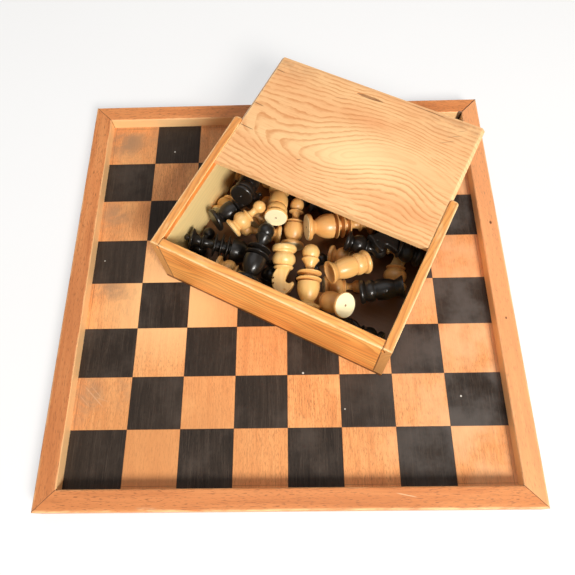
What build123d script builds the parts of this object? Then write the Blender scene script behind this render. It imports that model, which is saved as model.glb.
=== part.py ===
from build123d import *
import math
import os

import numpy as np

# Chess board with raised frame, and a sliding-lid box with the chess pieces heaped in it.
# Millimetres, +Z up. The underside of the board is at z = 0, its middle at x = y = 0,
# and the player of the light pieces sits at -Y.

# Board
square_size = 40.0
squares_per_side = 8
edge_square_extra = 2.4
panel_thickness = 6.2
veneer_thickness = 0.8
rail_width = 15.0
rail_lip_height = 11.0
rail_rebate_depth = 5.0
rail_edge_radius = 1.2
panel_play = 0.2

# Box
box_length = 193.0
box_depth = 131.0
box_height = 59.0
box_wall = 7.0
box_bottom_thickness = 4.0
box_edge_radius = 0.8
box_back_end_radius = 2.6
box_middle_x = 16.0
box_middle_y = 20.7
box_turn = -27.3

# Sliding lid
lid_thickness = 5.4
lid_edge_thickness = 2.6
lid_bevel_width = 2.5
lid_below_rim = 1.0
lid_play = 0.3
lid_short_of_back = 3.5
lid_open_distance = 78.3
thumb_notch_length = 28.0
thumb_notch_depth = 1.7
thumb_notch_from_back = 9.6
thumb_notch_offset = -5.0

# Brads
brad_radius = 0.6
brad_head_radius = 1.2
brad_head_height = 0.8
frame_brad_length = 20.0
wall_brad_length = 18.0
bottom_brad_length = 14.0

# Turned pieces
foot_edge = 0.8
centre_mark_radius = 0.9
centre_mark_depth = 0.8
saucer_edge = 0.9
saucer_height = 3.0

pawn_foot_radius = 8.3
pawn_foot_height = 3.0
pawn_bulb_radius = 7.7
pawn_bulb_height = 10.0
pawn_saucer_radius = 5.7
pawn_neck_radius = 2.5
pawn_neck_height = 5.5
pawn_ball_radius = 5.2

rook_foot_radius = 9.5
rook_foot_height = 3.4
rook_ring_radius = 8.6
rook_ring_height = 6.4
rook_barrel_radius = 8.2
rook_barrel_height = 14.0
rook_cup_radius = 8.9
rook_cup_height = 5.4
rook_cup_depth = 4.2
rook_rim_width = 1.4

knight_foot_radius = 9.8
knight_foot_height = 4.0
knight_bulb_radius = 9.2
knight_bulb_height = 10.0
knight_saucer_radius = 7.6
knight_head_height = 25.0
knight_head_depth = 17.0
knight_head_thickness = 6.6
knight_head_edge = 0.9
knight_tenon_radius = 2.4
knight_tenon_length = 6.0

bishop_foot_radius = 9.9
bishop_foot_height = 3.2
bishop_bell_radius = 8.3
bishop_bell_height = 12.0
bishop_saucer_radius = 7.5
bishop_neck_radius = 2.9
bishop_neck_height = 6.5
bishop_mitre_radius = 5.7
bishop_mitre_height = 11.0
bishop_knob_radius = 1.8

queen_foot_radius = 9.9
queen_foot_height = 3.4
queen_bell_radius = 8.6
queen_bell_height = 13.5
queen_saucer_radius = 9.7
queen_neck_radius = 2.7
queen_cup_radius = 6.8
queen_cup_height = 9.0
queen_ball_radius = 6.8

king_foot_radius = 10.8
king_foot_height = 3.6
king_bell_radius = 10.0
king_bell_height = 13.5
king_saucer_radius = 10.4
king_neck_radius = 3.4
king_neck_height = 7.0
king_crown_radius = 8.6
king_crown_height = 6.6
king_knob_radius = 2.4

# Heap in the box; its places are given for an inside of this length and depth
heap_length = 179.0
heap_depth = 117.0
heap_gap = 0.35
heap_cell = 0.75
heap_sample = 0.5
heap_coarse = 1.2
heap_shifts = (-4.0, -2.0, 0.0, 2.0, 4.0)
heap_tilts = (-10, -7, -4, 0, 4, 7, 10)

# Worked out from the sizes above
playing_height = panel_thickness + veneer_thickness
rail_height = playing_height + rail_lip_height
opening = squares_per_side * square_size + 2 * edge_square_extra
outer = opening + 2 * rail_width
panel_size = opening + 2 * rail_rebate_depth - 2 * panel_play

inner_length = box_length - 2 * box_wall
inner_depth = box_depth - 2 * box_wall
wall_height = box_height - box_bottom_thickness
lid_top = box_height - lid_below_rim
lid_bottom = lid_top - lid_thickness
lid_bevel_foot = lid_bottom + lid_edge_thickness
lid_top_half = inner_length / 2 - lid_play
lid_half = lid_top_half + lid_bevel_width
lid_depth = inner_depth + box_wall - lid_play - lid_short_of_back
lid_front = -inner_depth / 2 + lid_play + lid_open_distance
back_wall_top = lid_bottom - lid_play

box_place = Location((box_middle_x, box_middle_y, playing_height), (0, 0, box_turn))


def block(low, high):
    """A box between two opposite corners."""
    size = [b - a for a, b in zip(low, high)]
    return Pos(*low) * Box(*size, align=(Align.MIN, Align.MIN, Align.MIN))


def brad(head, direction, length):
    """A wire nail whose head lies flush at the point `head`."""
    shank = Cylinder(brad_radius, length, align=(Align.CENTER, Align.CENTER, Align.MIN))
    cap = Cylinder(brad_head_radius, brad_head_height, align=(Align.CENTER, Align.CENTER, Align.MIN))
    return Plane(origin=head, z_dir=direction).location * (shank + cap)


def board_squares(dark):
    """The veneer squares of one colour; the outer ones reach under the rails."""
    half = squares_per_side / 2
    lines = [(i - half) * square_size for i in range(squares_per_side + 1)]
    lines[0] = -panel_size / 2
    lines[-1] = panel_size / 2
    squares = []
    for column in range(squares_per_side):
        for row in range(squares_per_side):
            if ((column + row) % 2 == 0) == dark:
                low = (lines[column], lines[row], panel_thickness)
                high = (lines[column + 1], lines[row + 1], playing_height)
                squares.append(block(low, high))
    return squares


def front_rail():
    """The rail at the front, mitred at both ends and rebated for the panel."""
    face_in = -opening / 2
    section = make_face(
        Polyline(
            (face_in - rail_rebate_depth, 0),
            (-outer / 2, 0),
            (-outer / 2, rail_height),
            (face_in, rail_height),
            (face_in, playing_height),
            (face_in - rail_rebate_depth, playing_height),
            close=True,
        )
    )
    section = fillet(section.vertices().group_by(Axis.Y)[-1], rail_edge_radius)
    bar = extrude(Plane.YZ.offset(-outer / 2) * section, outer)
    wedge = make_face(Polyline((-outer / 2, -outer / 2), (outer / 2, -outer / 2), (0, 0), close=True))
    return bar & extrude(wedge, rail_height)


def frame_brads():
    """One brad across each mitre from either side, at two heights."""
    inset = rail_width / 3
    reach = outer / 2
    brads = []
    for sx in (-1, 1):
        for sy in (-1, 1):
            high = playing_height + rail_lip_height * 0.65
            low = playing_height + rail_lip_height * 0.3
            brads.append(brad((sx * reach, sy * (reach - inset), high), (-sx, 0, 0), frame_brad_length))
            brads.append(brad((sx * (reach - inset), sy * reach, low), (0, -sy, 0), frame_brad_length))
    return brads


def side_wall(side):
    """A side board of the box, with the dovetail groove that the lid slides in."""
    inner = inner_length / 2
    wall = block((inner, -box_depth / 2, box_bottom_thickness), (box_length / 2, box_depth / 2, box_height))
    upright = wall.edges().filter_by(Axis.Z)
    wall = fillet(upright.group_by(Axis.Y)[-1], box_back_end_radius)
    wall = fillet(wall.edges().group_by(Axis.Z)[-1], box_edge_radius)
    slope = (lid_top - lid_bevel_foot) / lid_bevel_width
    reach = lid_half + lid_play
    groove = make_face(
        Polyline(
            (inner - 1, lid_bottom - lid_play),
            (reach, lid_bottom - lid_play),
            (reach, lid_bevel_foot),
            (inner - 1, lid_bevel_foot + slope * (reach - inner + 1)),
            close=True,
        )
    )
    wall -= extrude(Plane.XZ.offset(-box_depth / 2) * groove, box_depth)
    return wall if side > 0 else mirror(wall, Plane.YZ)


def cross_wall(side):
    """The front or back board of the box; the back one stops under the lid."""
    top = back_wall_top if side > 0 else box_height
    near = side * inner_depth / 2
    far = side * box_depth / 2
    low = (-inner_length / 2, min(near, far), box_bottom_thickness)
    wall = block(low, (inner_length / 2, max(near, far), top))
    edges = wall.edges().filter_by(Axis.X).group_by(Axis.Z)[-1]
    return fillet(edges, box_edge_radius)


def box_lid():
    """The lid: a board with bevelled side edges and a thumb notch near its back edge."""
    section = make_face(
        Polyline(
            (-lid_half, lid_bottom),
            (lid_half, lid_bottom),
            (lid_half, lid_bevel_foot),
            (lid_top_half, lid_top),
            (-lid_top_half, lid_top),
            (-lid_half, lid_bevel_foot),
            close=True,
        )
    )
    lid = extrude(Plane.XZ.offset(-lid_front) * section, -lid_depth)
    notch_y = lid_front + lid_depth - thumb_notch_from_back
    half = thumb_notch_length / 2
    scoop = make_face(
        [
            Line((-half, 0, 0), (half, 0, 0)),
            ThreePointArc((half, 0, 0), (0, thumb_notch_depth, 0), (-half, 0, 0)),
        ]
    )
    return lid - Pos(thumb_notch_offset, notch_y, lid_top) * revolve(scoop, Axis.X)


def wall_brads():
    """Two brads at each corner, through the side boards into the cross boards."""
    brads = []
    for sx in (-1, 1):
        for sy in (-1, 1):
            y = sy * (box_depth - box_wall) / 2
            for share in (0.25, 0.7):
                z = box_bottom_thickness + share * (lid_bottom - box_bottom_thickness)
                brads.append(brad((sx * box_length / 2, y, z), (-sx, 0, 0), wall_brad_length))
    return brads


def bottom_brads():
    """Brads through the bottom into the edges of the four boards."""
    x = (box_length - box_wall) / 2
    y = (box_depth - box_wall) / 2
    spots = [(sx * x, share * box_depth) for sx in (-1, 1) for share in (-0.22, 0.22)]
    spots += [(share * box_length, sy * y) for sy in (-1, 1) for share in (-0.3, 0, 0.3)]
    return [brad((a, b, 0), (0, 0, 1), bottom_brad_length) for a, b in spots]


def turned(start, stretches):
    """Turn a piece about Z from its foot up.

    Each stretch is (height, radius half way up or None for a straight one, end radius)."""
    edges = [
        Line((0, 0, centre_mark_depth), (centre_mark_radius, 0, 0)),
        Line((centre_mark_radius, 0, 0), (start, 0, 0)),
    ]
    r, z = start, 0.0
    for height, middle, end in stretches:
        a, b = (r, 0, z), (end, 0, z + height)
        edges.append(Line(a, b) if middle is None else ThreePointArc(a, (middle, 0, z + height / 2), b))
        r, z = end, z + height
    if r > 0:
        edges.append(Line((r, 0, z), (0, 0, z)))
    edges.append(Line((0, 0, z), (0, 0, centre_mark_depth)))
    return revolve(make_face(edges), Axis.Z)


def foot(radius, height):
    return [(height, radius, radius - foot_edge)]


def step(radius):
    return [(0, None, radius)]


def saucer(radius, core):
    """A thin disc with sloping sides on the stem."""
    slope = (saucer_height - saucer_edge) / 2
    return [(slope, None, radius), (saucer_edge, radius + saucer_edge / 4, radius), (slope, None, core)]


def ball(neck, radius):
    """A ball that closes the top of a piece, on a neck of the given radius."""
    height = radius + math.sqrt(radius**2 - neck**2)
    middle = math.sqrt(radius**2 - (height / 2 - radius) ** 2)
    return [(height, middle, 0)]


def pawn():
    r = pawn_foot_radius
    waist = pawn_bulb_radius * 0.62
    return turned(
        r - foot_edge,
        foot(r, pawn_foot_height)
        + [(2.4, waist + 0.5, waist)]
        + [(pawn_bulb_height, pawn_bulb_radius, waist)]
        + saucer(pawn_saucer_radius, pawn_neck_radius + 0.8)
        + [(pawn_neck_height, pawn_neck_radius, pawn_neck_radius + 0.6)]
        + ball(pawn_neck_radius + 0.6, pawn_ball_radius),
    )


def rook():
    r = rook_foot_radius
    groove = rook_ring_radius - 1.6
    rim = rook_cup_radius - rook_rim_width
    return turned(
        r - foot_edge,
        foot(r, rook_foot_height)
        + [(1.6, groove + 0.4, groove)]
        + step(rook_ring_radius - 0.7)
        + [(rook_ring_height, rook_ring_radius, rook_ring_radius - 1.0)]
        + step(groove)
        + [(1.2, None, groove)]
        + step(rook_barrel_radius - 0.4)
        + [(rook_barrel_height, rook_barrel_radius, rook_barrel_radius - 1.8)]
        + [(rook_cup_height, rook_barrel_radius - 0.9, rook_cup_radius)]
        + [(1.0, None, rook_cup_radius)]
        + step(rim)
        + [(-rook_cup_depth, rim - 1.5, centre_mark_radius), (-centre_mark_depth, None, 0)],
    )


def knight_base():
    r = knight_foot_radius
    waist = knight_bulb_radius - 2.4
    base = turned(
        r - foot_edge,
        foot(r, knight_foot_height)
        + [(1.8, waist + 0.5, waist)]
        + [(knight_bulb_height, knight_bulb_radius, knight_saucer_radius - 1.4)]
        + saucer(knight_saucer_radius, knight_saucer_radius - 1.4),
    )
    top = base.bounding_box().max.Z
    below = (Align.CENTER, Align.CENTER, Align.MAX)
    return base - Pos(0, 0, top) * Cylinder(knight_tenon_radius, knight_tenon_length, align=below)


def knight_head(seat):
    """The sawn horse's head with its tenon; the muzzle points to +X."""
    h, d = knight_head_height, knight_head_depth
    back, front = -0.30 * d, 0.30 * d
    outline = make_face(
        [
            Line((front, 0), (back, 0)),
            ThreePointArc((back, 0), (-0.50 * d, 0.42 * h), (-0.16 * d, 0.84 * h)),
            Line((-0.16 * d, 0.84 * h), (-0.06 * d, h)),
            Line((-0.06 * d, h), (0.10 * d, 0.83 * h)),
            ThreePointArc((0.10 * d, 0.83 * h), (0.30 * d, 0.72 * h), (0.50 * d, 0.52 * h)),
            ThreePointArc((0.50 * d, 0.52 * h), (0.50 * d, 0.44 * h), (0.42 * d, 0.40 * h)),
            ThreePointArc((0.42 * d, 0.40 * h), (0.20 * d, 0.44 * h), (0.12 * d, 0.36 * h)),
            ThreePointArc((0.12 * d, 0.36 * h), (0.20 * d, 0.16 * h), (front, 0)),
        ]
    )
    head = extrude(Plane.XZ * outline, knight_head_thickness / 2, both=True)
    rims = head.faces().filter_by(Axis.Y).edges().filter_by(lambda edge: edge.center().Z > 0.01)
    head = fillet(rims, knight_head_edge)
    for share in (0.30, 0.48, 0.66):
        notch = Pos(-0.47 * d + 0.08 * d * share, 0, share * h) * Rotation(90, 0, 0)
        head -= notch * Cylinder(0.9, knight_head_thickness)
    for side in (-1, 1):
        head -= Pos(0.10 * d, side * knight_head_thickness / 2, 0.68 * h) * Sphere(1.0)
    below = (Align.CENTER, Align.CENTER, Align.MAX)
    tenon = Cylinder(knight_tenon_radius, knight_tenon_length, align=below)
    return Pos(0, 0, seat) * (head + tenon)


def bishop():
    r = bishop_foot_radius
    waist = bishop_bell_radius * 0.58
    return turned(
        r - foot_edge,
        foot(r, bishop_foot_height)
        + [(3.0, waist + 0.8, waist)]
        + [(bishop_bell_height, bishop_bell_radius - 0.5, bishop_bell_radius)]
        + [(0.8, None, bishop_bell_radius)]
        + step(waist)
        + [(1.2, None, waist - 0.4)]
        + saucer(bishop_saucer_radius, bishop_neck_radius + 0.7)
        + [(bishop_neck_height, bishop_neck_radius, bishop_neck_radius + 0.7)]
        + saucer(bishop_mitre_radius, bishop_neck_radius + 0.4)
        + [(bishop_mitre_height, bishop_mitre_radius, bishop_knob_radius - 0.4)]
        + ball(bishop_knob_radius - 0.4, bishop_knob_radius),
    )


def queen():
    r = queen_foot_radius
    waist = queen_bell_radius * 0.54
    core = queen_neck_radius + 1.6
    return turned(
        r - foot_edge,
        foot(r, queen_foot_height)
        + [(3.4, waist + 1.0, waist)]
        + [(queen_bell_height, queen_bell_radius - 0.6, queen_bell_radius), (0.8, None, queen_bell_radius)]
        + step(core + 0.4)
        + [(1.4, None, core + 0.4)]
        + saucer(queen_saucer_radius, core)
        + [(2.2, None, core)]
        + saucer(queen_saucer_radius - 0.4, queen_neck_radius)
        + [(queen_cup_height, queen_neck_radius + 1.2, queen_cup_radius), (0.8, None, queen_cup_radius)]
        + step(queen_ball_radius * 0.6)
        + ball(queen_ball_radius * 0.6, queen_ball_radius),
    )


def king():
    r = king_foot_radius
    waist = king_bell_radius * 0.54
    core = king_neck_radius + 1.3
    return turned(
        r - foot_edge,
        foot(r, king_foot_height)
        + [(3.6, waist + 1.0, waist)]
        + [(king_bell_height, king_bell_radius - 0.6, king_bell_radius), (0.8, None, king_bell_radius)]
        + step(core)
        + [(1.6, None, core)]
        + saucer(king_saucer_radius, core)
        + [(2.2, None, core)]
        + saucer(king_saucer_radius - 0.2, core)
        + [(2.2, None, core)]
        + saucer(king_saucer_radius - 0.9, king_neck_radius + 0.6)
        + [(king_neck_height, king_neck_radius, king_neck_radius + 0.8)]
        + saucer(king_neck_radius + 2.4, king_neck_radius + 0.6)
        + [(king_crown_height, king_neck_radius + 1.4, king_crown_radius)]
        + [(1.2, king_crown_radius + 0.3, king_crown_radius), (2.0, None, king_knob_radius * 0.9)]
        + ball(king_knob_radius * 0.9, king_knob_radius),
    )


def surface_samples(shape):
    """Points all over a shape no further apart than heap_sample, and their outward normals."""
    corners, triangles = shape.tessellate(0.08, 0.3)
    corners = np.array([tuple(c) for c in corners])
    a, b, c = (corners[[t[k] for t in triangles]] for k in range(3))
    normal = np.cross(b - a, c - a)
    area = np.linalg.norm(normal, axis=1)
    keep = area > 1e-9
    a, b, c, normal = a[keep], b[keep], c[keep], normal[keep] / area[keep, None]
    longest = np.max([np.linalg.norm(p - q, axis=1) for p, q in ((a, b), (b, c), (c, a))], axis=0)
    parts = np.ceil(longest / heap_sample).astype(int)
    points, normals = [], []
    for n in np.unique(parts):
        pick = parts == n
        steps = [(i / n, j / n) for i in range(n + 1) for j in range(n + 1 - i)]
        for s, t in steps:
            points.append(a[pick] + s * (b[pick] - a[pick]) + t * (c[pick] - a[pick]))
            normals.append(normal[pick])
    return np.concatenate(points), np.concatenate(normals)


def turn_matrix(heading, pitch, roll):
    """Rotation that lays a piece's axis along a heading, raised by a pitch, rolled about its axis."""
    h, p, r = (math.radians(a) for a in (heading, 90 - pitch, roll))
    about_z = np.array([[math.cos(h), -math.sin(h), 0], [math.sin(h), math.cos(h), 0], [0, 0, 1]])
    about_y = np.array([[math.cos(p), 0, math.sin(p)], [0, 1, 0], [-math.sin(p), 0, math.cos(p)]])
    own = np.array([[math.cos(r), -math.sin(r), 0], [math.sin(r), math.cos(r), 0], [0, 0, 1]])
    return about_z @ about_y @ own


class Heap:
    """The pieces in the box, each let down onto the ones before it."""

    def __init__(self):
        self.half = np.array([inner_length / 2, inner_depth / 2])
        cells = np.ceil(2 * self.half / heap_cell).astype(int)
        self.top = np.full(tuple(cells), box_bottom_thickness)

    def cells(self, points):
        index = np.floor((points[:, :2] + self.half) / heap_cell).astype(int)
        index = np.clip(index, 0, np.array(self.top.shape) - 1)
        return index[:, 0], index[:, 1]

    def drop(self, points, spot):
        """Where the middle of a turned shape comes to rest when let down at a spot."""
        low, high = points[:, :2].min(axis=0), points[:, :2].max(axis=0)
        spot = np.clip(spot, -self.half - low, np.maximum(self.half - high, -self.half - low))
        moved = points[:, :2] + spot
        return np.array([*spot, np.max(self.top[self.cells(moved)] - points[:, 2])])

    def lay(self, shape, x, y, heading, pitch=0, roll=0, sink=0.0):
        """Rest a shape on the heap, moved and tilted to where it sinks lowest, then sunk a little more."""
        rests = []
        for tilt in heap_tilts:
            points = shape.coarse @ turn_matrix(heading, pitch + tilt, roll).T
            for dx in heap_shifts:
                for dy in heap_shifts:
                    rest = self.drop(points, (x + dx, y + dy))
                    rests.append((rest[2], tilt, rest))
        _, tilt, rest = min(rests, key=lambda r: r[0])
        turn = turn_matrix(heading, pitch + tilt, roll)
        middle = self.drop(shape.swollen @ turn.T, rest[:2]) - np.array([0.0, 0.0, sink])
        points = shape.points @ turn.T + middle
        np.maximum.at(self.top, self.cells(points), points[:, 2])
        origin = middle - turn @ shape.middle
        return Plane(origin=tuple(origin), x_dir=tuple(turn[:, 0]), z_dir=tuple(turn[:, 2])).location


class Shape:
    """One kind of chess piece: its solids by name ending, and samples of its surface about its middle."""

    def __init__(self, **solids):
        self.solids = solids
        whole = Compound(list(solids.values()))
        points, normals = surface_samples(whole)
        self.middle = np.array([0.0, 0.0, whole.bounding_box().max.Z * 0.42])
        self.points = points - self.middle
        self.swollen = self.points + heap_gap * normals
        self.coarse = np.unique(np.round(self.swollen / heap_coarse), axis=0) * heap_coarse


def write(name, shape):
    export_step(shape, os.path.join("parts", name + ".step"))


os.makedirs("parts", exist_ok=True)

# Board
nails = frame_brads()
for turn, where in enumerate(("front", "right", "back", "left")):
    rail = Rotation(0, 0, 90 * turn) * front_rail()
    for nail in nails:
        rail -= nail
    write("frame_rail_" + where, rail)
panel = block((-panel_size / 2, -panel_size / 2, 0), (panel_size / 2, panel_size / 2, panel_thickness))
write("board_panel", panel)
write("light_squares", Compound(board_squares(False)))
write("dark_squares", Compound(board_squares(True)))
write("frame_brads", Compound(nails))

# Box
side_nails = wall_brads()
floor_nails = bottom_brads()
boards = {
    "box_left_side": side_wall(-1),
    "box_right_side": side_wall(1),
    "box_front": cross_wall(-1),
    "box_back": cross_wall(1),
    "box_bottom": block(
        (-box_length / 2, -box_depth / 2, 0), (box_length / 2, box_depth / 2, box_bottom_thickness)
    ),
}
for name, board in boards.items():
    for nail in side_nails + floor_nails:
        board -= nail
    write(name, box_place * board)
write("box_corner_brads", box_place * Compound(side_nails))
write("box_bottom_brads", box_place * Compound(floor_nails))
write("box_lid", box_place * box_lid())

# Chess pieces
base = knight_base()
kinds = {
    "pawn": Shape(turned=pawn()),
    "rook": Shape(turned=rook()),
    "knight": Shape(base=base, head=knight_head(base.bounding_box().max.Z)),
    "bishop": Shape(turned=bishop()),
    "queen": Shape(turned=queen()),
    "king": Shape(turned=king()),
}

# How the pieces lie, the lowest first: name, place in the box, heading of the axis, pitch, roll
heap_order = [
    ("white_pawn_8", -74, 50, 5),
    ("black_pawn_4", -38, 50, 185),
    ("black_bishop_2", 4, 50, 5),
    ("black_pawn_6", 62, 50, 0),
    ("black_pawn_3", -52, -54, 0),
    ("black_pawn_8", -80, -30, 90),
    ("white_pawn_6", -79, 17, 90),
    ("white_pawn_7", -47, 19, 90),
    ("black_pawn_1", -12, -32, -90),
    ("white_bishop_2", -14, 20, 110),
    ("white_pawn_1", -35, 1, 200, 0, 0, 1.1),
    ("black_pawn_7", 17, -10, 84),
    ("black_pawn_5", 46, 33, 20),
    ("black_knight_2", 72, -50, 176, 0, 60),
    ("white_knight_2", 68, 21, 108, 0, 90),
    ("white_pawn_3", 43, -12, 30),
    ("black_rook_2", 68, -9, 30),
    ("white_bishop_1", 40, -33, 170, -50),
    ("black_king", -60, -28, 196, 14),
    ("white_pawn_5", -45, -47, 8),
    ("black_bishop_1", -71, 3, 62, 8),
    ("black_rook_1", -59, 17, 97, -26),
    ("black_queen", -31, -30, 99),
    ("white_king", 11, 22, 36),
    ("white_pawn_4", 29, 8, 10),
    ("black_pawn_2", 40, 13, 8),
    ("black_knight_1", 64, 27, 190, 0, 90),
    ("white_queen", 18, -27, 112),
    ("white_knight_1", -3, -25, -66, 0, 90),
    ("white_rook_1", -31, 15, 112, -4),
    ("white_pawn_2", -55, -3, 65, 0),
    ("white_rook_2", 38, -2, 230, 22, 0, 0.45),
]
heap = Heap()
for name, x, y, *lie in heap_order:
    shape = kinds[name.split("_")[1]]
    place = heap.lay(shape, x * inner_length / heap_length, y * inner_depth / heap_depth, *lie)
    for ending, solid in shape.solids.items():
        node = name if ending == "turned" else name + "_" + ending
        write(node, box_place * place * solid)
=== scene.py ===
import math

import bpy
import numpy as np
from mathutils import Matrix, Vector

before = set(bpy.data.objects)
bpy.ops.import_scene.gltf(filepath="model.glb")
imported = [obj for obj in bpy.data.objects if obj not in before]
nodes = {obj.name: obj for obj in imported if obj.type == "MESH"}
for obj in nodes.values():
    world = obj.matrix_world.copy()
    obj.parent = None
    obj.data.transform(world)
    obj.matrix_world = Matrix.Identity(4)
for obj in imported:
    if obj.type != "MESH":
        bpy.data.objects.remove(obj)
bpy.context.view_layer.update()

# Sizes of the board and the box in millimetres, as in the part's source
SQUARE = 40.0
OPENING = 324.8
OUTER = 354.8
RAIL_HEIGHT = 18.0
BOX_MIDDLE = (16.0, 20.7, 7.0)
BOX_TURN = math.radians(-27.3)
BOX_HALF_LENGTH = 96.5
BOX_HALF_DEPTH = 65.5
BOX_HEIGHT = 59.0
BOX_WALL = 7.0

# The lid where it is drawn to, in the axes of the box: its middle, the heart of its grain, its thumb notch
LID_MIDDLE = 80.2
LID_HEART = (4.0, 71.5)
LID_NOTCH = (-5.0, 130.7)


class Tone:
    """A number, vector or colour inside a finish; sums of numbers add their own nodes."""

    def __init__(self, finish, socket):
        self.finish = finish
        self.socket = socket

    def sum(self, operation, *terms):
        return self.finish.node("ShaderNodeMath", {"operation": operation}, dict(enumerate(terms)))

    def __add__(self, other):
        return self.sum("ADD", self, other)

    def __radd__(self, other):
        return self.sum("ADD", other, self)

    def __sub__(self, other):
        return self.sum("SUBTRACT", self, other)

    def __rsub__(self, other):
        return self.sum("SUBTRACT", other, self)

    def __mul__(self, other):
        return self.sum("MULTIPLY", self, other)

    def __rmul__(self, other):
        return self.sum("MULTIPLY", other, self)

    def __truediv__(self, other):
        return self.sum("DIVIDE", self, other)

    def __rtruediv__(self, other):
        return self.sum("DIVIDE", other, self)

    def __pow__(self, other):
        return self.sum("POWER", self, other)

    def __abs__(self):
        return self.sum("ABSOLUTE", self)

    def __mod__(self, other):
        return self.sum("FLOORED_MODULO", self, other)


class Finish:
    """One surface finish: a Principled shader and the nodes that feed it."""

    def __init__(self, name, **constants):
        self.material = bpy.data.materials.new(name)
        self.material.use_nodes = True
        self.tree = self.material.node_tree
        self.shader = self.tree.nodes["Principled BSDF"]
        for socket, value in constants.items():
            self.shader.inputs[socket.replace("_", " ")].default_value = value

    def node(self, kind, settings=None, sockets=None, out=0):
        made = self.tree.nodes.new(kind)
        for name, value in (settings or {}).items():
            if name == "stops":
                ramp = made.color_ramp
                while len(ramp.elements) < len(value):
                    ramp.elements.new(0.5)
                for element, (place, colour) in zip(ramp.elements, value):
                    element.position = place
                    element.color = (*colour, 1)
            else:
                setattr(made, name, value)
        for key, value in (sockets or {}).items():
            self.feed(made.inputs[key], value)
        return Tone(self, made.outputs[out])

    def feed(self, socket, value):
        if isinstance(value, Tone):
            self.tree.links.new(value.socket, socket)
        elif socket.type == "RGBA" and len(value) == 3:
            socket.default_value = (*value, 1)
        else:
            socket.default_value = value

    def place(self, middle=(0, 0, 0), turn=(0, 0, 0)):
        """Millimetres in the axes of a piece that lies at `middle`, turned by `turn`."""
        metres = self.node("ShaderNodeTexCoord", out=3)
        here = self.node("ShaderNodeVectorMath", {"operation": "SCALE"}, {0: metres, 3: 1000.0})
        settings = {"vector_type": "TEXTURE"}
        return self.node("ShaderNodeMapping", settings, {0: here, 1: middle, 2: turn})

    def parts(self, vector):
        split = self.node("ShaderNodeSeparateXYZ", sockets={0: vector})
        outputs = split.socket.node.outputs
        return [Tone(self, outputs[k]) for k in range(3)]

    def joined(self, x, y, z):
        return self.node("ShaderNodeCombineXYZ", sockets={0: x, 1: y, 2: z})

    def vector(self, operation, *terms):
        return self.node("ShaderNodeVectorMath", {"operation": operation}, dict(enumerate(terms)))

    def noise(self, vector, stretch, detail=2.0, rough=0.5, twist=0.0):
        """Soft noise about 0.5; `stretch` is how often it changes in a millimetre along each axis."""
        scaled = self.vector("MULTIPLY", vector, stretch)
        sockets = {"Vector": scaled, "Scale": 1.0, "Detail": detail, "Roughness": rough, "Distortion": twist}
        return self.node("ShaderNodeTexNoise", sockets=sockets)

    def ease(self, value, low, high):
        """0 below `low`, 1 above `high`, smooth between; the other way round if low is above high."""
        start, end = (0.0, 1.0) if low < high else (1.0, 0.0)
        sockets = {0: value, 1: min(low, high), 2: max(low, high), 3: start, 4: end}
        return self.node("ShaderNodeMapRange", {"interpolation_type": "SMOOTHSTEP"}, sockets)

    def mix(self, first, second, share, blend="MIX"):
        settings = {"data_type": "RGBA", "blend_type": blend}
        return self.node("ShaderNodeMix", settings, {0: share, 6: first, 7: second}, out=2)

    def ramp(self, value, *stops):
        return self.node("ShaderNodeValToRGB", {"stops": stops}, {0: value})

    def tones(self, value, pale, middle, deep):
        """Three tones of one wood, spread over soft noise."""
        return self.ramp(value, (0.28, pale), (0.5, middle), (0.72, deep))

    def greatest(self, first, *others):
        for other in others:
            first = first.sum("MAXIMUM", first, other)
        return first

    def spot(self, x, y, at, radius, soft, squash=1.0):
        """A round mark about the point `at`, `squash` times as long in y."""
        far = ((x - at[0]) ** 2.0 + ((y - at[1]) / squash) ** 2.0) ** 0.5
        return self.ease(far, radius, radius - soft)

    def stroke(self, x, y, start, end, width):
        """A straight scratch between two points, fading out at its ends."""
        along = Vector(end) - Vector(start)
        length = along.length
        along = along / length
        run = (x - start[0]) * along[0] + (y - start[1]) * along[1]
        off = abs((y - start[1]) * along[0] - (x - start[0]) * along[1])
        taper = self.ease(run, -0.5, 0.25 * length) * self.ease(run, length + 0.5, 0.75 * length)
        return self.ease(off, width, width * 0.35) * taper

    def finished(self, colour, roughness=None, height=None, depth=0.1, coat=None):
        self.feed(self.shader.inputs["Base Color"], colour)
        if roughness is not None:
            self.feed(self.shader.inputs["Roughness"], roughness)
        if coat is not None:
            self.feed(self.shader.inputs["Coat Weight"], coat)
        if height is not None:
            sockets = {"Height": height, "Strength": 1.0, "Distance": depth / 1000}
            self.feed(self.shader.inputs["Normal"], self.node("ShaderNodeBump", sockets=sockets))
        return self.material


class Sky(Finish):
    """The light from all round the part, with the nodes that feed it."""

    def __init__(self, name):
        self.world = bpy.data.worlds.new(name)
        self.world.use_nodes = True
        self.tree = self.world.node_tree
        self.shader = self.tree.nodes["Background"]


def put_on(material, *names):
    for name in names:
        mesh = nodes[name].data
        mesh.materials.clear()
        mesh.materials.append(material)


def year_rings(finish, count):
    """Growth rings from a running ring number: the darker late wood at the end of each year."""
    year = count % 1.0
    return finish.ease(year, 0.25, 0.9) * finish.ease(year, 1.0, 0.92)


# Board

# Pale specks on the dark squares: place and radius
PALE_SPECKS = (
    (-102.8, 132.9, 0.9),
    (-154.2, 21.1, 0.7),
    (12.1, -78.6, 1.0),
    (43.0, -106.6, 0.7),
    (130.5, -97.9, 0.9),
)


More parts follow.
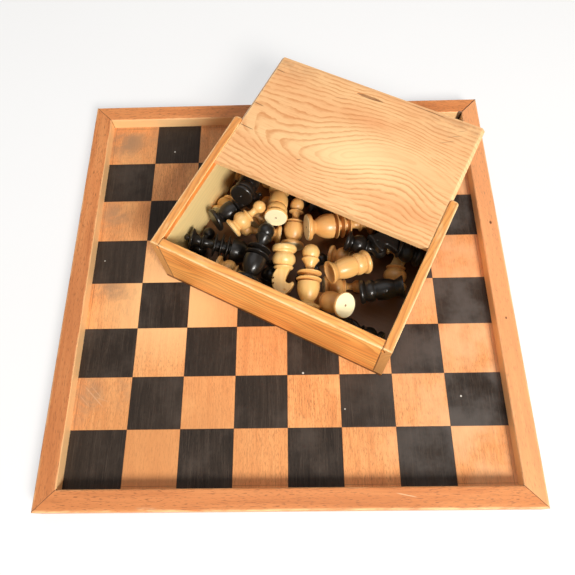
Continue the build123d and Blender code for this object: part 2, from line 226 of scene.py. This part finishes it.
def square_veneer(name, pale):
    """Veneer with its grain from front to back, a little different in each square."""
    finish = Finish(name, Specular_IOR_Level=0.35 if pale else 0.24)
    here = finish.place()
    from_corner = finish.vector("ADD", here, (4 * SQUARE, 4 * SQUARE, 0))
    moved = finish.vector("DIVIDE", from_corner, (SQUARE, SQUARE, 1000))
    cell = finish.vector("MAXIMUM", finish.vector("FLOOR", moved), (0, 0, 0))
    cell = finish.vector("MINIMUM", cell, (7, 7, 0))
    seed = finish.node("ShaderNodeTexWhiteNoise", {"noise_dimensions": "3D"}, {0: cell}, out=1)
    tone = finish.node("ShaderNodeTexWhiteNoise", {"noise_dimensions": "3D"}, {0: cell})
    x, y, _ = finish.parts(here)
    grain_place = finish.vector("ADD", here, finish.vector("MULTIPLY", seed, (900, 900, 900)))
    broad = finish.noise(grain_place, (0.16, 0.012, 0.05), 3.0, 0.6, 0.9)
    fine = finish.noise(grain_place, (1.5, 0.045, 0.1), 4.0, 0.65, 0.3)
    pores = finish.noise(grain_place, (2.6, 0.30, 0.1), 2.0, 0.6)
    cloud = finish.noise(here, (0.03, 0.03, 0.02), 4.0, 0.6)
    across = finish.parts(finish.vector("FRACTION", moved))
    line = finish.greatest(
        *[finish.greatest(finish.ease(a, 0.008, 0.0), finish.ease(a, 0.992, 1.0)) for a in across[:2]]
    )
    if pale:
        colour = finish.tones(broad, (0.92, 0.44, 0.165), (0.87, 0.385, 0.135), (0.72, 0.28, 0.088))
        colour = finish.mix(colour, (0.50, 0.17, 0.050), finish.ease(fine, 0.44, 0.72) * 0.75)
        colour = finish.mix(colour, (0.34, 0.115, 0.038), finish.ease(pores, 0.52, 0.66) * 0.8)
        colour = finish.mix(colour, (0.72, 0.30, 0.105), tone * 0.55)
        colour = finish.mix(colour, (0.98, 0.52, 0.21), finish.ease(cloud, 0.5, 0.72) * 0.4)
        blotch_noise = finish.noise(here, (0.05, 0.045, 0.05), 5.0, 0.65, 0.6)
        left_file = finish.ease(x, -110, -140)
        back_rows = finish.ease(y, 70, 130) * finish.ease(x, -20, -100)
        stain = finish.greatest(
            finish.spot(x, y, (-149, 146), 36, 34),
            finish.spot(x, y, (-152, 66), 30, 28) * 0.8,
            finish.spot(x, y, (-148, -6), 24, 20, 0.6) * 0.9,
            finish.spot(x, y, (-156, -98), 26, 22, 1.2),
            finish.spot(x, y, (-128, -92), 14, 12, 1.4) * 0.7,
        )
        stain = finish.greatest(
            stain * finish.ease(blotch_noise, 0.28, 0.62),
            left_file * finish.ease(blotch_noise, 0.48, 0.72) * 0.6,
            back_rows * finish.ease(blotch_noise, 0.3, 0.8) * 0.7,
        )
        front_left = finish.spot(x, y, (-95, -145), 130, 110, 0.6)
        colour = finish.mix(colour, (0.62, 0.27, 0.095), front_left * 0.6)
        # Painted sheen: the squares towards the right are painted paler, standing in for a reflection of the
        # light.
        painted_sheen_pale = finish.ease(x, 30, 150) * finish.ease(cloud, 0.3, 0.6) * 0.6
        colour = finish.mix(colour, (0.84, 0.50, 0.27), painted_sheen_pale)
        colour = finish.mix(colour, (0.98, 0.56, 0.25), finish.spot(x, y, (-95, -15), 75, 60) * 0.85)
        colour = finish.mix(colour, (0.36, 0.215, 0.12), stain * 0.85)
        scuffs = finish.greatest(
            finish.stroke(x, y, (-157, -86), (-139, -104), 0.6) * 0.8,
            finish.stroke(x, y, (-152, -86), (-141, -97), 0.4) * 0.6,
            finish.stroke(x, y, (-159, -94), (-150, -103), 0.4) * 0.6,
            finish.stroke(x, y, (-147, -95), (-136, -99), 0.5) * 0.5,
            finish.stroke(x, y, (-24, -52), (-8, -68), 0.3) * 0.5,
        )
        colour = finish.mix(colour, (0.86, 0.56, 0.34), scuffs * finish.ease(fine, 0.3, 0.6) * 0.5)
        colour = finish.mix(colour, (0.20, 0.085, 0.035), line * 0.6)
        rough = 0.44 + cloud * 0.16 + stain * 0.12
    else:
        sockets = {"Vector": here, "Scale": 0.035, "Randomness": 1.0}
        dust = finish.node("ShaderNodeTexVoronoi", sockets=sockets)
        colour = finish.tones(broad, (0.014, 0.009, 0.0062), (0.027, 0.018, 0.0125), (0.052, 0.036, 0.026))
        colour = finish.mix(colour, (0.095, 0.068, 0.051), finish.ease(fine, 0.5, 0.74) * 0.65)
        colour = finish.mix(colour, (0.007, 0.004, 0.003), finish.ease(pores, 0.54, 0.70) * 0.8)
        colour = finish.mix(colour, (0.090, 0.068, 0.054), finish.ease(cloud, 0.46, 0.72) * 0.55)
        colour = finish.mix(colour, (0.046, 0.031, 0.022), tone * 0.4)
        # Painted sheen: the squares towards the right are painted greyer, standing in for a glossy reflection
        # of the light.
        painted_sheen_grey = finish.ease(x, 20, 150) * finish.ease(cloud, 0.3, 0.6) * 0.6
        colour = finish.mix(colour, (0.118, 0.106, 0.098), painted_sheen_grey)
        speck = finish.ease(dust, 0.016, 0.010) * 0.5
        for *at, radius in PALE_SPECKS:
            speck = finish.greatest(speck, finish.spot(x, y, at, radius, 0.4))
        colour = finish.mix(colour, (0.62, 0.58, 0.52), speck)
        rough = 0.44 + cloud * 0.18 + fine * 0.08
    height = fine * 0.5 + pores * -0.6 - line * 1.5
    return finish.finished(colour, rough, height, 0.06)


# Rails: how far along the plank each was cut, the colour it leans to, and how much
RAILS = {
    "front": (0, (0.48, 0.175, 0.06), 0.42),
    "right": (310, (0.96, 0.47, 0.22), 0.5),
    "back": (620, (0.62, 0.22, 0.07), 0.2),
    "left": (930, (0.42, 0.145, 0.047), 0.55),
}


def rail_beech(where):
    """A frame rail: beech with short dark flecks along it, a worn pale outer edge and dark mitre seams."""
    finish = Finish("frame_beech_" + where, Specular_IOR_Level=0.4)
    here = finish.place()
    x, y, z = finish.parts(here)
    along, across = (x, y) if where in ("front", "back") else (y, x)
    seed, tint, share = RAILS[where]
    grain_place = finish.joined(along + seed, across, z)
    broad = finish.noise(grain_place, (0.010, 0.16, 0.16), 3.0, 0.6, 0.6)
    streak = finish.noise(grain_place, (0.022, 0.9, 0.9), 4.0, 0.65, 0.2)
    fleck = finish.noise(grain_place, (0.22, 1.9, 1.9), 2.0, 0.5)
    worn = finish.noise(grain_place, (0.05, 0.3, 0.3), 4.0, 0.65)
    colour = finish.tones(broad, (0.88, 0.36, 0.125), (0.80, 0.29, 0.092), (0.62, 0.205, 0.060))
    colour = finish.mix(colour, (0.50, 0.155, 0.042), finish.ease(streak, 0.48, 0.76) * 0.6)
    colour = finish.mix(colour, (0.20, 0.055, 0.016), finish.ease(fleck, 0.56, 0.68) * 0.75)
    reach = finish.greatest(abs(x), abs(y))
    inner, outer = OPENING / 2, OUTER / 2
    # The inner faces are painted paler: partly paler wood, partly painted light where the lamp falls on them.
    lip_pale_and_lit = finish.ease(reach, inner + 0.5, inner + 0.1)
    if where == "left":
        share = share * (0.35 + finish.ease(y, 110, -40) * 0.65)
    colour = finish.mix(colour, tint, share)
    colour = finish.mix(colour, (0.98, 0.66, 0.32), lip_pale_and_lit * 0.8)
    edge = finish.ease(reach, outer - 2.2, outer - 0.4)
    edge = edge * finish.ease(z, RAIL_HEIGHT - 3.5, RAIL_HEIGHT - 0.8)
    rim = finish.ease(reach, inner + 1.4, inner + 0.3)
    rim = rim * finish.ease(z, RAIL_HEIGHT - 2.0, RAIL_HEIGHT - 0.5)
    pale = finish.greatest(edge * finish.ease(worn, 0.36, 0.62), rim * finish.ease(worn, 0.42, 0.66) * 0.7)
    colour = finish.mix(colour, (0.93, 0.56, 0.27), pale * 0.75)
    seam = finish.ease(abs(abs(x) - abs(y)), 0.34, 0.12)
    gap = finish.spot(x, y, (160.6, 161.4), 2.6, 1.0)
    open_mitre = finish.ease(abs(x - y), 0.8, 0.3) * finish.ease(x, 120, 150)
    dark = finish.greatest(seam, gap, open_mitre)
    height = streak * 0.5 - finish.ease(fleck, 0.57, 0.70) * 0.7 - dark * 3.0
    if where == "front":
        chip = finish.spot(along, z, (-97.8, 17.2), 9.0, 7.0, 0.35) * finish.ease(across, -173.5, -176.5)
        scratch = finish.stroke(x, y, (74, -166.5), (89, -169.5), 0.45)
        bare = finish.greatest(chip * finish.ease(worn, 0.42, 0.62) * 0.7, scratch * 0.6)
        colour = finish.mix(colour, (0.93, 0.66, 0.40), bare)
    if where == "right":
        knots = finish.greatest(
            finish.spot(x, y, (171, 45), 1.3, 0.8, 1.6), finish.spot(x, y, (170, -40), 1.0, 0.7, 1.5)
        )
        colour = finish.mix(colour, (0.16, 0.055, 0.02), knots)
    colour = finish.mix(colour, (0.05, 0.02, 0.01), dark * 0.9)
    rough = 0.38 + worn * 0.16 + pale * 0.15
    return finish.finished(colour, rough, height, 0.07)


def panel_ply():
    """The plywood under the squares."""
    finish = Finish("panel_plywood")
    here = finish.place()
    broad = finish.noise(here, (0.012, 0.12, 0.1), 3.0, 0.6, 0.8)
    fine = finish.noise(here, (0.05, 1.6, 1.0), 3.0, 0.6)
    colour = finish.ramp(broad, (0.3, (0.58, 0.39, 0.21)), (0.7, (0.44, 0.27, 0.13)))
    colour = finish.mix(colour, (0.36, 0.21, 0.10), finish.ease(fine, 0.5, 0.8) * 0.4)
    return finish.finished(colour, 0.62 + fine * 0.15, fine, 0.08)


def wire():
    """Tarnished steel of the brads."""
    finish = Finish("brad_steel", Metallic=0.9)
    tarnish = finish.noise(finish.place(), (1.2, 1.2, 1.2), 3.0, 0.6)
    colour = finish.ramp(tarnish, (0.35, (0.34, 0.30, 0.27)), (0.65, (0.16, 0.11, 0.085)))
    return finish.finished(colour, 0.42 + tarnish * 0.2, tarnish, 0.05)


# Box

# Boards of the box: what each does, and how far along the log it was cut
BOX_BOARDS = {
    "box_left_side": ("side", 0),
    "box_right_side": ("side", 400),
    "box_front": ("cross", 800),
    "box_back": ("cross", 1200),
    "box_bottom": ("bottom", 1600),
}


def pine(name):
    """One board of the box: pine with straight rings along it, end grain at its ends, worn edges."""
    finish = Finish("box_pine_" + name, Specular_IOR_Level=0.5)
    here = finish.place(BOX_MIDDLE, (0, 0, BOX_TURN))
    x, y, z = finish.parts(here)
    board, seed = BOX_BOARDS[name]
    along, high, through = {"side": (y, z, x), "cross": (x, z, y), "bottom": (x, y, z)}[board]
    grain_place = finish.joined(along + seed, high, through)
    wander = finish.noise(grain_place, (0.009, 0.03, 0.03), 2.0, 0.5)
    count = high * 0.19 + through * 0.25 + (wander - 0.5) * 7.0
    late = year_rings(finish, count)
    fibre = finish.noise(grain_place, (0.03, 1.3, 1.3), 3.0, 0.6)
    tint = finish.noise(grain_place, (0.012, 0.05, 0.05), 3.0, 0.6)
    worn = finish.noise(grain_place, (0.06, 0.2, 0.2), 4.0, 0.65)
    colour = finish.tones(tint, (1.0, 0.52, 0.145), (0.96, 0.42, 0.100), (0.84, 0.30, 0.062))
    colour = finish.mix(colour, (0.56, 0.185, 0.042), late * 0.6)
    colour = finish.mix(colour, (0.50, 0.18, 0.045), finish.ease(fibre, 0.5, 0.8) * 0.5)
    if board == "side":
        colour = finish.mix(colour, (0.60, 0.225, 0.065), 0.32)
    outer_x = finish.ease(abs(x), BOX_HALF_LENGTH - 2.0, BOX_HALF_LENGTH - 0.3)
    outer_y = finish.ease(abs(y), BOX_HALF_DEPTH - 2.0, BOX_HALF_DEPTH - 0.3)
    top = finish.ease(z, BOX_HEIGHT - 2.4, BOX_HEIGHT - 0.5)
    edge = top * finish.greatest(outer_x, outer_y)
    pale = finish.greatest(edge * finish.ease(worn, 0.3, 0.55), top * finish.ease(worn, 0.5, 0.75) * 0.5)
    inner_x, inner_y = BOX_HALF_LENGTH - BOX_WALL, BOX_HALF_DEPTH - BOX_WALL
    inside = finish.ease(abs(x), inner_x + 0.5, inner_x - 0.2)
    inside = inside * finish.ease(abs(y), inner_y + 0.5, inner_y - 0.2)
    colour = finish.mix(colour, (1.0, 0.86, 0.42), inside * 0.85)
    # Darker in blotches towards the bottom of each board.
    blotch_noise = finish.noise(grain_place, (0.03, 0.08, 0.08), 4.0, 0.65)
    lower_darkening = finish.ease(blotch_noise, 0.52, 0.78) * finish.ease(z, 42, 8)
    colour = finish.mix(colour, (0.45, 0.20, 0.065), lower_darkening * 0.45)
    colour = finish.mix(colour, (0.95, 0.70, 0.36), pale * 0.75)
    # The bottom board is painted almost black-brown: painted shade for the inside of the box, over a darker
    # stain.
    if board == "bottom":
        colour = finish.mix(colour, (0.12, 0.028, 0.003), 0.94)
    dark = finish.ease(fibre, 0.72, 0.85) * 0.4
    if board == "side":
        end_face = finish.ease(abs(y), BOX_HALF_DEPTH - 0.25, BOX_HALF_DEPTH - 0.05)
        from_heart = ((z - 84.0) ** 2.0 + (abs(x) - 62.0) ** 2.0) ** 0.5
        rings = year_rings(finish, from_heart * 0.42 + (wander - 0.5) * 1.5)
        grainy = finish.mix((0.72, 0.37, 0.12), (0.40, 0.155, 0.045), rings * 0.85)
        colour = finish.mix(colour, grainy, end_face)
        joint = finish.ease(abs(abs(x) - inner_x), 0.5, 0.1) * end_face
        dark = finish.greatest(dark, joint)
    if name == "box_front":
        crack = finish.greatest(
            finish.stroke(x, z, (-80, 47.5), (-58, 44.5), 0.5),
            finish.stroke(x, z, (-76, 40.0), (-64, 39.0), 0.35),
            finish.stroke(x, z, (-12, 22.0), (22, 20.5), 0.3) * 0.7,
        ) * finish.ease(y, -64.5, -65.2)
        seam = finish.ease(abs(x), inner_x - 0.9, inner_x - 0.2)
        dark = finish.greatest(dark, crack, seam * 0.8)
    colour = finish.mix(colour, (0.13, 0.05, 0.018), dark * 0.9)
    height = fibre * 0.4 - late * 0.5 - dark * 2.5
    rough = 0.38 + worn * 0.18 + pale * 0.12
    return finish.finished(colour, rough, height, 0.08)


def lid_pine():
    """The lid: flat-sawn pine whose rings run round a slanting oval and out along the board."""
    finish = Finish("lid_pine", Specular_IOR_Level=0.4)
    here = finish.place(BOX_MIDDLE, (0, 0, BOX_TURN))
    x, y, z = finish.parts(here)
    wander = finish.noise(here, (0.014, 0.022, 0.05), 2.0, 0.5)
    ripple = finish.noise(here, (0.06, 0.04, 0.05), 3.0, 0.55)
    dx, dy = x - LID_HEART[0], y - LID_HEART[1]
    far = (dx ** 2.0 + (dy * 1.6) ** 2.0) ** 0.5
    slant = finish.ease(far, 95, 20) * math.radians(27)
    lean, upright = slant.sum("SINE", slant), slant.sum("COSINE", slant)
    along = dx * upright + dy * lean
    off = dy * upright - dx * lean
    drawn = 30.0 + far * 0.12 + finish.ease(along, -8, 45) * 95.0
    oval = ((along / drawn) ** 2.0 + (off / 13.0) ** 2.0) ** 0.5
    count = oval * 3.3 + (wander - 0.5) * 2.6 + (ripple - 0.5) * 1.2
    year = count % 1.0
    late = finish.ease(year, 0.45, 0.88) * finish.ease(year, 1.0, 0.92)
    late = late * (0.3 + finish.ease(oval, 0.55, 1.15) * 0.7)
    fibre = finish.noise(here, (0.05, 1.1, 1.0), 4.0, 0.65, 0.3)
    tint = finish.noise(here, (0.012, 0.03, 0.03), 3.0, 0.55)
    worn = finish.noise(here, (0.07, 0.12, 0.1), 4.0, 0.65)
    colour = finish.tones(tint, (0.98, 0.62, 0.30), (0.95, 0.54, 0.25), (0.88, 0.42, 0.18))
    colour = finish.mix(colour, (0.66, 0.235, 0.065), late * finish.ease(worn, 0.25, 0.6) * 0.7)
    colour = finish.mix(colour, (0.66, 0.28, 0.09), finish.ease(fibre, 0.48, 0.76) * 0.55)
    # Paler about the heart of the grain, with a painted highlight where the lamp's glare falls on the lid.
    heart_pale_and_highlight = finish.spot(x, y, (10, 72), 80, 74, 0.45)
    colour = finish.mix(colour, (1.0, 0.78, 0.40), heart_pale_and_highlight * 0.75 * (1.0 - late * 0.7))
    back = finish.ease(y, 112, 138) * finish.ease(abs(x + 8.0), 25, 84)
    grey = finish.greatest(back * finish.ease(worn, 0.35, 0.62), finish.ease(y, 135.5, 140) * 0.5)
    colour = finish.mix(colour, (0.50, 0.27, 0.13), grey * 0.55)
    splits = finish.greatest(
        finish.stroke(x, y, (-92, 85.4), (-80, 84.6), 0.45),
        finish.stroke(x, y, (-92, 60.6), (-76, 59.4), 0.45),
        finish.stroke(x, y, (-92, 126), (-80, 124.5), 0.35),
        finish.stroke(x, y, (28, 138.5), (62, 137.5), 0.35),
    )
    scratches = finish.greatest(
        finish.stroke(x, y, (62, 111), (74, 119), 0.35),
        finish.stroke(x, y, (66, 119), (78, 127), 0.3),
        finish.stroke(x, y, (72, 128), (79, 133), 0.3),
        finish.stroke(x, y, (-32, 118), (-20, 122), 0.22),
        finish.stroke(x, y, (-31.5, 48.5), (-29.0, 49.5), 0.8),
    )
    notch = finish.ease(abs(y - LID_NOTCH[1]), 2.2, 1.2) * finish.ease(abs(x - LID_NOTCH[0]), 14.5, 11.0)
    notch = notch * finish.ease(z, 57.95, 57.3)
    dark = finish.greatest(splits, scratches * 0.6, notch * 0.85)
    colour = finish.mix(colour, (0.20, 0.085, 0.03), dark * 0.9)
    edge = finish.greatest(finish.ease(abs(x), 87.2, 88.8), finish.ease(abs(y - LID_MIDDLE), 58.6, 59.9))
    colour = finish.mix(colour, (0.96, 0.62, 0.30), edge * finish.ease(worn, 0.35, 0.6) * 0.55)
    height = fibre * 0.4 - late * 0.5 - dark * 2.5
    rough = 0.38 + worn * 0.18
    return finish.finished(colour, rough, height, 0.08)


# Chess pieces

def own_axes(name):
    """Middle and turn of a turned piece, +Z along its axis and away from its foot; where foot and tip lie."""
    mesh = nodes[name].data
    mesh.calc_loop_triangles()
    points = np.array([v.co for v in mesh.vertices])
    corners = points[[t.vertices[:] for t in mesh.loop_triangles]]
    a, b, c = corners[:, 0], corners[:, 1], corners[:, 2]
    area = np.linalg.norm(np.cross(b - a, c - a), axis=1)
    centre = (a + b + c) / 3
    middle = (centre * area[:, None]).sum(axis=0) / area.sum()
    spread = ((centre - middle) * area[:, None]).T @ (centre - middle) / area.sum()
    sizes, ways = np.linalg.eigh(spread)
    axis = ways[:, 2] if sizes[2] - sizes[1] > sizes[1] - sizes[0] else ways[:, 0]
    points = corners.reshape(-1, 3) - middle
    reach = points @ axis
    radius = np.linalg.norm(points - np.outer(reach, axis), axis=1)
    low = radius[reach < reach.min() + 0.003].max()
    high = radius[reach > reach.max() - 0.003].max()
    if low < high:
        axis, reach = -axis, -reach
    turn = Vector(axis).to_track_quat("Z", "X").to_euler()
    return tuple(middle * 1000), tuple(turn), reach.min() * 1000, reach.max() * 1000


# How much darker each light piece is painted: painted shade for the pieces lying low or shaded in the heap
PAINTED_HEAP_SHADE = {
    "white_king": 0.5,
    "white_rook_2": 0.32,
    "white_bishop_1": 0.6,
    "white_bishop_2": 0.35,
    "white_knight_2_base": 0.5,
    "white_pawn_1": 0.35,
    "white_pawn_2": 0.3,
    "white_pawn_3": 0.5,
    "white_pawn_4": 0.5,
    "white_pawn_5": 0.35,
    "white_pawn_7": 0.4,
    "white_rook_1": 0.12,
}


def light_piece(name):
    """A turned piece of pale wood: grain along its axis, a bare sawn foot with the lathe's centre mark."""
    finish = Finish("light_wood_" + name, Specular_IOR_Level=0.5, Coat_Roughness=0.25)
    middle, turn, foot, tip = own_axes(name)
    here = finish.place(middle, turn)
    x, y, z = finish.parts(here)
    seed = (sum(ord(letter) for letter in name) * 7) % 97 * 11.0
    moved = finish.vector("ADD", here, (seed, seed * 0.7, seed * 0.4))
    broad = finish.noise(moved, (0.16, 0.16, 0.012), 3.0, 0.55, 0.5)
    streak = finish.noise(moved, (1.4, 1.4, 0.05), 3.0, 0.6)
    tint = finish.noise(moved, (0.02, 0.02, 0.02), 2.0, 0.5)
    lathe = finish.noise(finish.joined(seed, 0.0, z), (1.0, 1.0, 3.2), 1.0, 0.5)
    colour = finish.tones(broad, (0.96, 0.68, 0.28), (0.91, 0.57, 0.20), (0.78, 0.41, 0.115))
    colour = finish.mix(colour, (0.60, 0.28, 0.07), finish.ease(streak, 0.5, 0.78) * 0.55)
    colour = finish.mix(colour, (0.82, 0.44, 0.13), finish.ease(tint, 0.4, 0.65) * 0.5)
    # Painted shade: the pieces lying low in the heap are painted darker.
    colour = finish.mix(colour, (0.62, 0.245, 0.065), PAINTED_HEAP_SHADE.get(name, 0.08))
    out = (x ** 2.0 + y ** 2.0) ** 0.5
    sawn = finish.ease(z, foot + 0.30, foot + 0.12)
    turning = finish.noise(finish.joined(out, seed, 0.0), (1.6, 1.0, 1.0), 1.0, 0.5)
    pale_foot = finish.mix((0.97, 0.86, 0.55), (0.86, 0.66, 0.34), finish.ease(turning, 0.5, 0.8) * 0.6)
    colour = finish.mix(colour, pale_foot, sawn)
    dark = finish.ease(out, 1.3, 0.5) * finish.ease(z, foot + 1.2, foot + 0.3)
    if "rook" in name:
        cup = finish.ease(out, 7.6, 7.0) * finish.ease(z, tip - 5.6, tip - 5.2)
        colour = finish.mix(colour, (0.55, 0.29, 0.10), cup * 0.8)
        dark = finish.greatest(dark, finish.ease(out, 1.3, 0.5) * cup)
    colour = finish.mix(colour, (0.16, 0.07, 0.025), dark * 0.85)
    height = streak * 0.3 + lathe * 0.7
    return finish.finished(colour, 0.32 + streak * 0.12, height, 0.04, 0.15 + tint * 0.2)


def dark_piece(name):
    """A turned piece in black lacquer, brushed along its axis, chipped here and there to the bare wood."""
    finish = Finish("dark_lacquer_" + name, Specular_IOR_Level=0.35, Coat_Roughness=0.12)
    middle, turn, _, _ = own_axes(name)
    here = finish.place(middle, turn)
    _, _, z = finish.parts(here)
    seed = (sum(ord(letter) for letter in name) * 5) % 89 * 13.0
    moved = finish.vector("ADD", here, (seed, seed * 0.6, seed * 0.3))
    brush = finish.noise(moved, (0.5, 0.5, 0.04), 3.0, 0.6)
    cloud = finish.noise(moved, (0.09, 0.09, 0.09), 3.0, 0.6)
    chips = finish.noise(moved, (0.35, 0.35, 0.35), 3.0, 0.7)
    lathe = finish.noise(finish.joined(seed, 0.0, z), (1.0, 1.0, 2.6), 1.0, 0.5)
    colour = finish.ramp(brush, (0.3, (0.008, 0.0065, 0.0055)), (0.75, (0.018, 0.014, 0.011)))
    bare = finish.ease(chips, 0.735, 0.77)
    colour = finish.mix(colour, (0.19, 0.10, 0.045), bare * 0.8)
    rough = 0.26 + cloud * 0.16 + bare * 0.3
    return finish.finished(colour, rough, lathe * 0.6 + cloud * 0.4 - bare, 0.05, 0.25 - bare * 0.2)


put_on(square_veneer("light_square_veneer", True), "light_squares")
put_on(square_veneer("dark_square_veneer", False), "dark_squares")
for where in RAILS:
    put_on(rail_beech(where), "frame_rail_" + where)
put_on(panel_ply(), "board_panel")
put_on(wire(), "frame_brads", "box_corner_brads", "box_bottom_brads")
for name in BOX_BOARDS:
    put_on(pine(name), name)
put_on(lid_pine(), "box_lid")
for name in nodes:
    if name.startswith("white_"):
        put_on(light_piece(name), name)
    if name.startswith("black_"):
        put_on(dark_piece(name), name)


# Floor, light and camera

def studio_floor():
    """A white floor that shines partly by itself, as the camera and reflections see it."""
    bpy.ops.mesh.primitive_plane_add(size=6.0, location=(0, 0, -0.0004))
    floor = bpy.context.object
    floor.name = "studio_floor"
    finish = Finish("floor_white", Roughness=0.7, Specular_IOR_Level=0.2)
    patch = finish.noise(finish.place(), (0.004, 0.004, 0.004), 2.0, 0.5)
    finish.finished(finish.ramp(patch, (0.3, (0.93, 0.92, 0.91)), (0.7, (0.96, 0.955, 0.95))))
    path = finish.node("ShaderNodeLightPath")
    seen = Tone(finish, path.socket.node.outputs["Is Camera Ray"])
    glossy = Tone(finish, path.socket.node.outputs["Is Glossy Ray"])
    through = Tone(finish, path.socket.node.outputs["Is Transmission Ray"])
    white = finish.node("ShaderNodeEmission", sockets={"Color": (1, 1, 1), "Strength": 1.0})
    share = finish.greatest(seen, glossy, through) * 0.6
    both = finish.node(
        "ShaderNodeMixShader", sockets={0: share, 1: Tone(finish, finish.shader.outputs[0]), 2: white}
    )
    output = finish.tree.nodes["Material Output"]
    finish.feed(output.inputs["Surface"], both)
    floor.data.materials.append(finish.material)


def lamp(name, place, aim, size, power, colour):
    light = bpy.data.lights.new(name, "AREA")
    light.shape = "RECTANGLE"
    light.size, light.size_y = size
    light.energy = power
    light.color = colour
    holder = bpy.data.objects.new(name, light)
    bpy.context.scene.collection.objects.link(holder)
    holder.location = place
    holder.rotation_euler = (Vector(aim) - Vector(place)).to_track_quat("-Z", "Y").to_euler()


def studio_light():
    lamp("window", (0.58, -1.12, 1.10), (0.0, 0.0, 0.0), (0.5, 0.5), 34.5, (1.0, 0.965, 0.915))
    lamp("ceiling", (-0.2, 0.5, 1.9), (0.0, 0.0, 0.0), (1.8, 1.8), 9.0, (1.0, 1.0, 1.0))
    sky = Sky("studio")
    _, _, up = sky.parts(sky.node("ShaderNodeTexCoord"))
    dim, pale = (0.155, 0.153, 0.150), (0.80, 0.79, 0.77)
    sky.feed(sky.shader.inputs["Color"], sky.mix(dim, pale, sky.ease(up, 0.5, 0.05)))
    bpy.context.scene.world = sky.world


def photo_camera():
    """The photograph's view: lens in pixels, place and axes as fitted to the board."""
    photo_width, lens_pixels = 575, 555.525
    camera = bpy.data.cameras.new("photo_view")
    camera.sensor_width = 36.0
    camera.lens = lens_pixels / photo_width * camera.sensor_width
    camera.clip_start = 0.01
    holder = bpy.data.objects.new("photo_view", camera)
    bpy.context.scene.collection.objects.link(holder)
    right = Vector((0.99961787, -0.00700789, -0.0267397))
    up = Vector((0.01716409, 0.91561604, 0.40168727))
    back = Vector((0.02166832, -0.40199274, 0.91538643))
    turn = Matrix((right, up, back)).transposed().to_4x4()
    holder.matrix_world = Matrix.Translation((0.010541, -0.190219, 0.425566)) @ turn
    bpy.context.scene.camera = holder


studio_floor()
studio_light()
photo_camera()
bpy.context.scene.view_settings.view_transform = "Standard"
